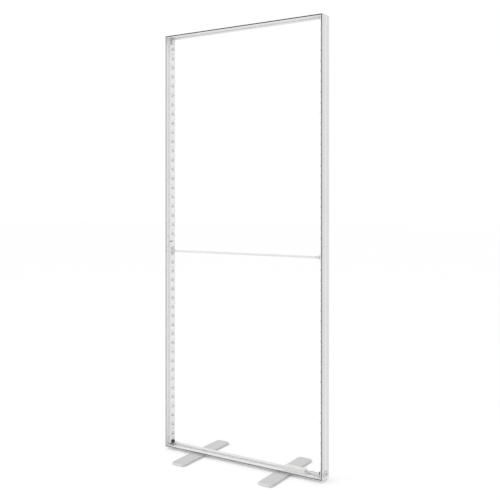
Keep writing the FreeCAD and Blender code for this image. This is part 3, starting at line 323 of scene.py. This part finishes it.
def light_board(name, colour, track_colour, half_width):
    """White solder mask over two broad copper tracks along the board."""
    shade = Shade(name)
    off_centre = abs(shade.axis("Y"))
    track = (off_centre > half_width * TRACK_INNER) * (off_centre < half_width * TRACK_OUTER)
    weave = shade.noise(0.4 * MM, 2.0)
    dust = shade.noise(25 * MM, 3.0)
    base = shade.blend(track, colour, track_colour)
    base = shade.blend(shade.spread(dust, 0, 0.3), base, tone(colour, 0.94))
    normal = shade.bump(weave, 0.01 * MM, 0.4, shade.bump(track, 0.05 * MM, 0.7))
    return shade.finish(Base_Color=base, Roughness=0.32, Normal=normal)


def circuit_board(name, colour, track_colour):
    """A green board with a field of thin tracks."""
    shade = Shade(name)
    settings = {"distance": "CHEBYCHEV"}
    inputs = {"Vector": shade.place(), "Scale": 1 / (3 * MM)}
    cells = shade.add("ShaderNodeTexVoronoi", settings, inputs)
    track = abs(cells - 0.4) < 0.04
    base = shade.blend(track, colour, track_colour)
    return shade.finish(Base_Color=base, Roughness=0.35, Normal=shade.bump(track, 0.04 * MM, 0.6))


def moulded(name, colour, roughness, grain=0.35 * MM):
    """Moulded plastic: a fine spark texture, flow clouds and handling shine."""
    shade = Shade(name)
    spark = shade.noise(grain, 3.0)
    flow = shade.noise(9 * MM, 2.0)
    base = shade.blend(shade.spread(flow, 0, 1), tone(colour, 0.96), tone(colour, 1.03))
    return shade.finish(
        Base_Color=base, Roughness=shade.spread(flow, roughness - 0.06, roughness + 0.06),
        Normal=shade.bump(spark, 0.03 * MM, 0.5),
    )


def soft_rubber(name, colour, roughness):
    """Rubber or foam: open matt grain with a grey bloom."""
    shade = Shade(name)
    grain = shade.noise(0.3 * MM, 4.0)
    bloom = shade.noise(8 * MM, 3.0)
    base = shade.blend(shade.spread(bloom, 0, 0.6), colour, tone(colour, 1.6))
    return shade.finish(
        Base_Color=base, Roughness=roughness, Normal=shade.bump(grain, 0.08 * MM, 0.7),
    )


def frosted_lens(name, colour, roughness, clarity):
    """Milky acrylic that spreads the light of its chip, with very slight moulding ripples."""
    shade = Shade(name)
    ripple = shade.noise(2.5 * MM, 1.0)
    return shade.finish(
        Base_Color=shade.blend(shade.spread(ripple, 0, 1), colour, tone(colour, 0.985)),
        Roughness=roughness, IOR=1.49, Transmission_Weight=clarity, Normal=shade.bump(ripple, 0.02 * MM, 0.2),
    )


def phosphor(name, colour):
    """The yellow gel of a light chip inside its white frame."""
    shade = Shade(name)
    speckle = shade.noise(0.15 * MM, 2.0)
    base = shade.blend(shade.spread(speckle, 0, 1), tone(colour, 0.9), colour)
    return shade.finish(
        Base_Color=base, Roughness=0.25, Coat_Weight=0.4, Normal=shade.bump(speckle, 0.01 * MM, 0.4),
    )


def lead_sheath(name, colour):
    """Soft sheath with a faint twist showing through."""
    shade = Shade(name)
    twist = shade.noise(1.2 * MM, 2.0)
    base = shade.blend(shade.spread(twist, 0, 1), tone(colour, 0.95), colour)
    return shade.finish(Base_Color=base, Roughness=0.5, Normal=shade.bump(twist, 0.05 * MM, 0.4))


def dress(material, *names):
    """Gives frame nodes one material."""
    for name in names:
        mesh = frame["nodes"][name].data
        mesh.materials.clear()
        mesh.materials.append(material)


def every(pattern):
    """All node names of a pattern over both sides and both levels."""
    return [pattern.format(side=side, level=level) for side in SIDES for level in LEVELS]


# ----------------------------------------------------------------- modelling

def placed(name, data):
    """A new object in the scene."""
    made = bpy.data.objects.new(name, data)
    bpy.context.scene.collection.objects.link(made)
    return made


def finished_mesh(name, bm, material):
    """Closes a bmesh into a mesh of one material."""
    mesh = bpy.data.meshes.new(name)
    bm.to_mesh(mesh)
    bm.free()
    mesh.materials.append(material)
    return mesh


def new_piece(name, mesh_maker, material, body="frame", smooth=True):
    """Makes a piece that rides on a body; mesh_maker fills its bmesh."""
    bm = bmesh.new()
    mesh_maker(bm)
    bmesh.ops.recalc_face_normals(bm, faces=bm.faces)
    mesh = finished_mesh(name, bm, material)
    if smooth:
        mesh.shade_smooth()
        mesh.set_sharp_from_angle(angle=SHARP)
    piece = placed(name, mesh)
    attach(piece, body)


def add_block(bm, low, high):
    """A box between two corners."""
    low, high = Vector(low), Vector(high)
    size = high - low
    turn = Matrix.Translation((low + high) / 2) @ Matrix.Diagonal((*size, 1.0))
    bmesh.ops.create_cube(bm, size=1.0, matrix=turn)


def add_turned(bm, profile, centre, direction, steps=24):
    """A closed turned shape from (radius, distance along the axis) points."""
    axis = Vector(direction).normalized()
    across = axis.orthogonal().normalized()
    spots = [Vector(centre) + across * radius + axis * along for radius, along in profile]
    verts = [bm.verts.new(spot) for spot in spots]
    edges = [bm.edges.new(pair) for pair in zip(verts, verts[1:] + verts[:1])]
    bmesh.ops.spin(
        bm, geom=verts + edges, cent=centre, axis=axis, angle=math.tau, steps=steps, use_merge=True,
    )
    bmesh.ops.remove_doubles(bm, verts=bm.verts, dist=1e-7)


def shared_material(name):
    """A material that several operators use, made when it is first asked for."""
    if name in bpy.data.materials:
        return bpy.data.materials[name]
    makers = {
        "resistor_ceramic": lambda: moulded(name, (0.72, 0.72, 0.71, 1), 0.35, 0.2 * MM),
        "solder": lambda: machined_steel(name, (0.70, 0.70, 0.71, 1), 0.3),
    }
    return makers[name]()


# ------------------------------------------------------------------ settings

def metres(name, description, default):
    return bpy.props.FloatProperty(
        name=name, description=description, default=default, unit="LENGTH", precision=4,
    )


def plain(name, description, default, low=0.0, high=1.0):
    return bpy.props.FloatProperty(name=name, description=description, default=default, min=low, max=high)


def colour(name, description, default):
    return bpy.props.FloatVectorProperty(
        name=name, description=description, subtype="COLOR", size=4, min=0.0, max=1.0, default=default,
    )


class FrameSettings(bpy.types.PropertyGroup):
    """The grooved frame and what joins it."""

    metal: colour("Metal", "Anodised extrusion", (0.79, 0.79, 0.79, 1))
    metal_roughness: plain("Metal roughness", "Of the satin anodising", 0.46)
    metal_share: plain("Metal share", "How far the anodised skin mirrors like metal", 0.55)
    zinc: colour("Zinc", "Plated keys, strips and nuts", (0.62, 0.63, 0.65, 1))
    screw: colour("Screws", "Bright screw steel", (0.66, 0.67, 0.68, 1))


class LightSettings(bpy.types.PropertyGroup):
    """The light bars on the two posts."""

    carrier: colour("Carrier", "Coated bar behind the boards", (0.86, 0.86, 0.86, 1))
    mask: colour("Board", "Solder mask of the boards", (0.94, 0.94, 0.93, 1))
    track: colour("Tracks", "Copper tracks under the mask", (0.88, 0.88, 0.86, 1))
    lens: colour("Lens", "Milky acrylic", (0.95, 0.955, 0.96, 1))
    lens_roughness: plain("Lens roughness", "Of the lens moulding", 0.16)
    lens_clarity: plain("Lens clarity", "How far the lenses let light straight through", 0.4)
    chip: colour("Chip", "Phosphor of the light chips", (0.94, 0.86, 0.55, 1))
    part_length: metres("Part length", "Of the small board parts", 3.2 * MM)
    part_width: metres("Part width", "Of the small board parts", 1.6 * MM)
    part_height: metres("Part height", "Of the small board parts", 0.6 * MM)


class PowerSettings(bpy.types.PropertyGroup):
    """Inlet, driver, plugs and leads."""

    housing: colour("Housing", "Driver case and lead connectors", (0.80, 0.80, 0.79, 1))
    inlet: colour("Inlet", "Inlet moulding", (0.70, 0.70, 0.70, 1))
    black: colour("Black", "Plugs of the inlet and of the left light bar", (0.02, 0.02, 0.02, 1))
    sheath: colour("Sheath", "Of the internal leads", (0.78, 0.78, 0.77, 1))
    board: colour("Board", "Driver board", (0.02, 0.16, 0.07, 1))
    boot_length: metres("Boot length", "Of the lead boots at the driver", 9 * MM)


class BraceSettings(bpy.types.PropertyGroup):
    """The sprung cross brace."""

    tube: colour("Tube", "Brace tube", (0.80, 0.80, 0.80, 1))
    plastic: colour("Ends", "Brace ends and sockets", (0.66, 0.66, 0.66, 1))
    collar_length: metres("Collar length", "Crimped collar on the tube's sprung end", 5 * MM)


class FootSettings(bpy.types.PropertyGroup):
    """The two flat feet."""

    coat: colour("Coat", "Coated foot plates", (0.62, 0.62, 0.62, 1))
    rubber: colour("Rubber", "Pads under the feet", (0.03, 0.03, 0.03, 1))


class StageSettings(bpy.types.PropertyGroup):
    """Floor, light and camera."""

    camera_place: bpy.props.FloatVectorProperty(
        name="Camera", description="Where the camera stands", subtype="TRANSLATION",
        unit="LENGTH", default=(1.839, -2.8825, 1.212),
    )
    camera_turn: bpy.props.FloatProperty(
        name="Turn", description="Of the level camera about the vertical", subtype="ANGLE",
        default=math.radians(31.96), unit="ROTATION",
    )
    camera_lens: plain("Lens", "Focal length in mm", 53.4, 10, 200)
    camera_drop: plain("Drop", "Vertical shift of the frame", -0.1002, -1, 1)
    floor_size: metres("Floor", "Length of the floor's side", 60.0)
    floor_colour: colour("Floor colour", "Plain pale floor", (0.96, 0.96, 0.96, 1))
    floor_lift: plain("Floor lift", "White that the floor adds in view", 0.11, 0, 2)
    ambient: plain("Ambient", "Strength of the even light", 0.92, 0, 5)
    key_power: plain("Key", "Power of the front light in watts", 18, 0, 5000)
    fill_power: plain("Fill", "Power of the side light in watts", 2, 0, 5000)


class PartitionSettings(bpy.types.PropertyGroup):
    """All settings of the partition frame."""

    frame: bpy.props.PointerProperty(type=FrameSettings)
    lights: bpy.props.PointerProperty(type=LightSettings)
    power: bpy.props.PointerProperty(type=PowerSettings)
    brace: bpy.props.PointerProperty(type=BraceSettings)
    feet: bpy.props.PointerProperty(type=FootSettings)
    stage: bpy.props.PointerProperty(type=StageSettings)


# ----------------------------------------------------------------- operators

class PARTITION_OT_frame(bpy.types.Operator):
    """Finish the posts, rails and corner pieces"""

    bl_idname = "partition.frame"
    bl_label = "Frame"

    def execute(self, context):
        settings = context.scene.partition.frame
        metal, roughness, share = tuple(settings.metal), settings.metal_roughness, settings.metal_share
        # Name, tone with painted light and shade, direction of the die lines, painted groove shade, nodes.
        members = (
            ("left_metal", 1.05, "Z", 0.80, ("left_post_lower", "left_post_upper")),
            ("right_metal", 0.94, "Z", 0.88, ("right_post_lower", "right_post_upper")),
            ("bottom_metal", 1.04, "X", 0.86, ("bottom_rail",)),
            ("top_metal", 1.0, "X", 0.2, ("top_rail",)),
        )
        for name, factor, along, painted_groove_shade, nodes in members:
            made = extruded_metal(name, tone(metal, factor), roughness, along, share, painted_groove_shade)
            dress(made, *nodes)
        # Level, tone with painted light and shade, painted groove shade.
        for level, factor, painted_groove_shade in (("bottom", 1.0, 0.8), ("top", 0.95, 0.35)):
            made = corner_metal("corner_%s_metal" % level, tone(metal, factor), roughness, share, painted_groove_shade)
            dress(made, "corner_%s_left" % level, "corner_%s_right" % level)
        return {"FINISHED"}


class PARTITION_OT_joints(bpy.types.Operator):
    """Finish the keys, strips, bars, nuts and screws"""

    bl_idname = "partition.joints"
    bl_label = "Joints and screws"

    def execute(self, context):
        settings = context.scene.partition.frame
        plated = ("corner_keys", "corner_strips", "splice_bars", "splice_strips", "slot_nuts")
        dress(zinc_plate("zinc_plate", tuple(settings.zinc), 0.34), *plated)
        bright = ("lip_screws", "bar_screws", "driver_screws", "inlet_screws", "foot_bolts")
        dress(machined_steel("screw_steel", tuple(settings.screw), 0.24), *bright)
        return {"FINISHED"}


def lens_places(side, level):
    """Heights of a board's lenses, read from the lens group's own pieces."""
    mesh = frame["nodes"]["%s_lenses_%s" % (side, level)].data
    rim = 2 * MM
    heights = sorted(v.co.z for v in mesh.vertices)
    places, start = [], heights[0]
    for before, here in zip(heights, heights[1:] + [math.inf]):
        if here - before > rim:
            places.append((start + before) / 2)
            start = here
    return places


class PARTITION_OT_light_bars(bpy.types.Operator):
    """Finish the light bars and add the small parts on their boards"""

    bl_idname = "partition.light_bars"
    bl_label = "Light bars"

    def execute(self, context):
        settings = context.scene.partition.lights
        half_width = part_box("left_board_lower")[1].y
        coat = powder_coat("carrier_coat", tuple(settings.carrier), 0.42)
        dress(coat, *every("{side}_carrier_{level}"), "left_bar_foot")
        board = light_board("light_board", tuple(settings.mask), tuple(settings.track), half_width)
        dress(board, *every("{side}_board_{level}"))
        roughness, clarity = settings.lens_roughness, settings.lens_clarity
        lens = frosted_lens("lens_acrylic", tuple(settings.lens), roughness, clarity)
        dress(lens, *every("{side}_lenses_{level}"))
        dress(phosphor("chip_phosphor", tuple(settings.chip)), "left_chips", "right_chips")
        dress(moulded("connector_white", (0.84, 0.84, 0.83, 1), 0.4), "board_connectors")
        for side in SIDES:
            for level in LEVELS:
                self.add_parts(settings, side, level)
        return {"FINISHED"}

    def add_parts(self, settings, side, level):
        """Two resistors and a pair of tinned pads between neighbouring lenses."""
        low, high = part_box("%s_board_%s" % (side, level))
        inside = SIDES[side]
        face = high.x if inside > 0 else low.x
        places = lens_places(side, level)
        half_length, half_width = settings.part_length / 2, settings.part_width / 2
        height = settings.part_height
        gaps = [a + (b - a) * PARTS_SHARE for a, b in zip(places, places[1:])]
        spots = [(y, z) for z in gaps for y in (-half_width * 3, half_width * 3)]

        def block(bm, y, z, half_y, half_z, thickness):
            xs = sorted((face, face + inside * thickness))
            add_block(bm, (xs[0], y - half_y, z - half_z), (xs[1], y + half_y, z + half_z))

        def bodies(bm):
            for y, z in spots:
                block(bm, y, z, half_width, half_length * 0.8, height)

        def pads(bm):
            for y, z in spots:
                for end in (z - half_length * 0.95, z + half_length * 0.95):
                    block(bm, y, end, half_width * 1.05, half_length * 0.22, height * 0.8)

        name = "%s_%s_" % (side, level)
        ceramic, solder = shared_material("resistor_ceramic"), shared_material("solder")
        new_piece(name + "resistors", bodies, ceramic, smooth=False)
        new_piece(name + "solder", pads, solder, smooth=False)


class PARTITION_OT_brace(bpy.types.Operator):
    """Finish the cross brace and add the collar that keeps its plunger in"""

    bl_idname = "partition.brace"
    bl_label = "Cross brace"

    def execute(self, context):
        settings = context.scene.partition.brace
        coat = powder_coat("brace_coat", tuple(settings.tube), 0.38, grain=0.4 * MM)
        dress(coat, "brace_tube")
        plastic = moulded("brace_plastic", tuple(settings.plastic), 0.42)
        dress(plastic, "brace_end_plug", "brace_plunger", "brace_socket_left", "brace_socket_right")
        dress(shared_material("solder"), "brace_spring")
        low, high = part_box("brace_tube")
        centre = (low + high) / 2
        radius = (high.z - low.z) / 2
        length = settings.collar_length
        wall = 0.5 * MM
        rim = Vector((high.x - length, centre.y, centre.z))

        def collar(bm):
            profile = [
                (radius, 0), (radius + wall, wall), (radius + wall, length * 0.35),
                (radius + wall * 0.3, length * 0.5), (radius + wall, length * 0.65),
                (radius + wall, length - wall), (radius, length),
            ]
            add_turned(bm, profile, rim, (1, 0, 0), 32)

        new_piece("brace_collar", collar, coat)
        return {"FINISHED"}


class PARTITION_OT_power(bpy.types.Operator):
    """Finish the inlet, driver, plugs and leads and add the boots at the driver"""

    bl_idname = "partition.power"
    bl_label = "Power parts"

    def execute(self, context):
        settings = context.scene.partition.power
        housing = moulded("driver_housing", tuple(settings.housing), 0.45)
        dress(housing, "driver_case", "driver_lid")
        dress(moulded("inlet_plastic", tuple(settings.inlet), 0.4), "power_inlet")
        dress(soft_rubber("gasket_foam", (0.10, 0.10, 0.10, 1), 0.85), "inlet_gasket")
        dress(machined_steel("pin_nickel", (0.75, 0.70, 0.58, 1), 0.2), "inlet_pins")
        dress(moulded("plug_black", tuple(settings.black), 0.38), "left_led_plug", "mains_plug")
        dress(circuit_board("driver_board", tuple(settings.board), (0.05, 0.26, 0.12, 1)), "driver_board")
        sheath = lead_sheath("lead_sheath", tuple(settings.sheath))
        leads = ("mains_lead", "right_led_lead", "left_led_lead", "left_board_lead", "light_jumpers")
        dress(sheath, *leads)
        self.add_boots(settings, housing)
        return {"FINISHED"}

    def add_boots(self, settings, housing):
        """Tapered boots where the leads leave the driver's end walls."""
        low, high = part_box("driver_lid")
        length = settings.boot_length
        exits = (("mains_lead", high.x, 1), ("right_led_lead", high.x, 1), ("left_led_lead", low.x, -1))
        for name, wall, way in exits:
            near = [v.co for v in frame["nodes"][name].data.vertices if abs(v.co.x - wall) < MM / 10]
            centre = sum(near, Vector()) / len(near)
            radius = max((co - centre).length for co in near)

            def boot(bm):
                profile = [
                    (radius, 0), (radius + 1.4 * MM, 0), (radius + 1.4 * MM, length * 0.2),
                    (radius + 0.9 * MM, length * 0.3), (radius + 0.5 * MM, length), (radius, length),
                ]
                add_turned(bm, profile, Vector((wall, centre.y, centre.z)), (way, 0, 0))

            new_piece("%s_boot" % name, boot, housing)


class PARTITION_OT_feet(bpy.types.Operator):
    """Finish the feet and their pads"""

    bl_idname = "partition.feet"
    bl_label = "Feet"

    def execute(self, context):
        settings = context.scene.partition.feet
        low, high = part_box("right_foot_plate")
        centre, half = (low + high) / 2, (high - low) / 2
        # Painted shade on the plates' long sides and painted light on their ends.
        painted_shading_rims = (("X", centre.x, half.x - MM, FOOT_SIDE_PAINTED_SHADE), ("Y", 0.0, half.y - MM, FOOT_END_PAINTED_LIGHT))
        coat = powder_coat(
            "foot_coat", tuple(settings.coat), 0.4, metallic=0.6, grain=0.7 * MM, scuffs=0.35, painted_shading_rims=painted_shading_rims,
        )
        dress(coat, "left_foot_plate", "right_foot_plate")
        dress(soft_rubber("pad_rubber", tuple(settings.rubber), 0.8), "left_foot_pads", "right_foot_pads")
        return {"FINISHED"}


class PARTITION_OT_stage(bpy.types.Operator):
    """Lay the floor and set the light and the camera"""

    bl_idname = "partition.stage"
    bl_label = "Stage"

    def execute(self, context):
        settings = context.scene.partition.stage
        self.add_floor(settings)
        self.light_world(context.scene, settings)
        self.add_lamps(settings)
        self.add_camera(context.scene, settings)
        context.scene.view_settings.view_transform = "Standard"
        return {"FINISHED"}

    def seen(self, shade):
        """1 where a ray comes from the eye, a mirror or through glass, else 0."""
        rays = [
            shade.add("ShaderNodeLightPath", out=name)
            for name in ("Is Camera Ray", "Is Glossy Ray", "Is Transmission Ray")
        ]
        return shade.maths("MAXIMUM", rays[0], shade.maths("MAXIMUM", rays[1], rays[2]))

    def add_floor(self, settings):
        """A plain floor that keeps its shadows and is lifted towards white in view."""
        bm = bmesh.new()
        bmesh.ops.create_grid(bm, x_segments=1, y_segments=1, size=settings.floor_size / 2)
        shade = Shade("floor_white")
        diffuse = shade.add("ShaderNodeBsdfDiffuse", {}, {"Color": tuple(settings.floor_colour)})
        lift = shade.add("ShaderNodeEmission", {}, {"Strength": settings.floor_lift})
        both = shade.add("ShaderNodeAddShader", {}, {0: diffuse, 1: lift})
        shown = shade.add("ShaderNodeMixShader", {}, {0: self.seen(shade), 1: diffuse, 2: both})
        shade.add("ShaderNodeOutputMaterial", {}, {"Surface": shown})
        floor = placed("floor", finished_mesh("floor", bm, shade.block))

    def light_world(self, scene, settings):
        """Even light all round, shown as plain white behind the frame."""
        shade = Shade("studio", bpy.data.worlds)
        scene.world = shade.block
        even = shade.add("ShaderNodeBackground", {}, {"Color": (1, 1, 1, 1), "Strength": settings.ambient})
        white = shade.add("ShaderNodeBackground", {}, {"Color": (1, 1, 1, 1), "Strength": 1.0})
        mixed = shade.add("ShaderNodeMixShader", {}, {0: self.seen(shade), 1: even, 2: white})
        shade.add("ShaderNodeOutputWorld", {}, {"Surface": mixed})

    def add_lamps(self, settings):
        """A broad key light in front and a weaker one from the right."""
        low, high = CAD_BOX
        middle = (low + high) / 2
        height = high.z - low.z
        lamps = (
            ("key_lamp", Vector((-0.8, -1.7, 0.9)) * height, settings.key_power),
            ("fill_lamp", Vector((1.7, -0.5, 0.5)) * height, settings.fill_power),
        )
        for name, offset, power in lamps:
            lamp = bpy.data.lights.new(name, "AREA")
            lamp.energy = power
            lamp.size = height
            thing = placed(name, lamp)
            thing.location = middle + offset
            thing.rotation_euler = (-offset).to_track_quat("-Z", "Y").to_euler()
            thing.visible_glossy = False

    def add_camera(self, scene, settings):
        camera = bpy.data.cameras.new("camera")
        camera.lens = settings.camera_lens
        camera.shift_y = settings.camera_drop
        thing = placed("camera", camera)
        thing.location = settings.camera_place
        thing.rotation_euler = (math.pi / 2, 0, settings.camera_turn)
        scene.camera = thing


STEPS = (
    PARTITION_OT_frame,
    PARTITION_OT_joints,
    PARTITION_OT_light_bars,
    PARTITION_OT_brace,
    PARTITION_OT_power,
    PARTITION_OT_feet,
    PARTITION_OT_stage,
)


class PARTITION_PT_panel(bpy.types.Panel):
    """Lists the settings and the steps of the partition frame."""

    bl_idname = "PARTITION_PT_panel"
    bl_label = "Partition frame"
    bl_space_type = "VIEW_3D"
    bl_region_type = "UI"
    bl_category = "Partition"

    def draw(self, context):
        for group in PartitionSettings.__annotations__:
            column = self.layout.column()
            column.label(text=group.capitalize())
            settings = getattr(context.scene.partition, group)
            for name in type(settings).__annotations__:
                column.prop(settings, name)
        for step in STEPS:
            self.layout.operator(step.bl_idname)


CLASSES = (
    FrameSettings, LightSettings, PowerSettings, BraceSettings, FootSettings, StageSettings,
    PartitionSettings, PARTITION_PT_panel,
) + STEPS


def register():
    for made in CLASSES:
        bpy.utils.register_class(made)
    bpy.types.Scene.partition = bpy.props.PointerProperty(type=PartitionSettings)


def unregister():
    del bpy.types.Scene.partition
    for made in reversed(CLASSES):
        bpy.utils.unregister_class(made)


def main():
    register()
    for step in STEPS:
        group, name = step.bl_idname.split(".")
        getattr(getattr(bpy.ops, group), name)()


if __name__ == "__main__":
    main()
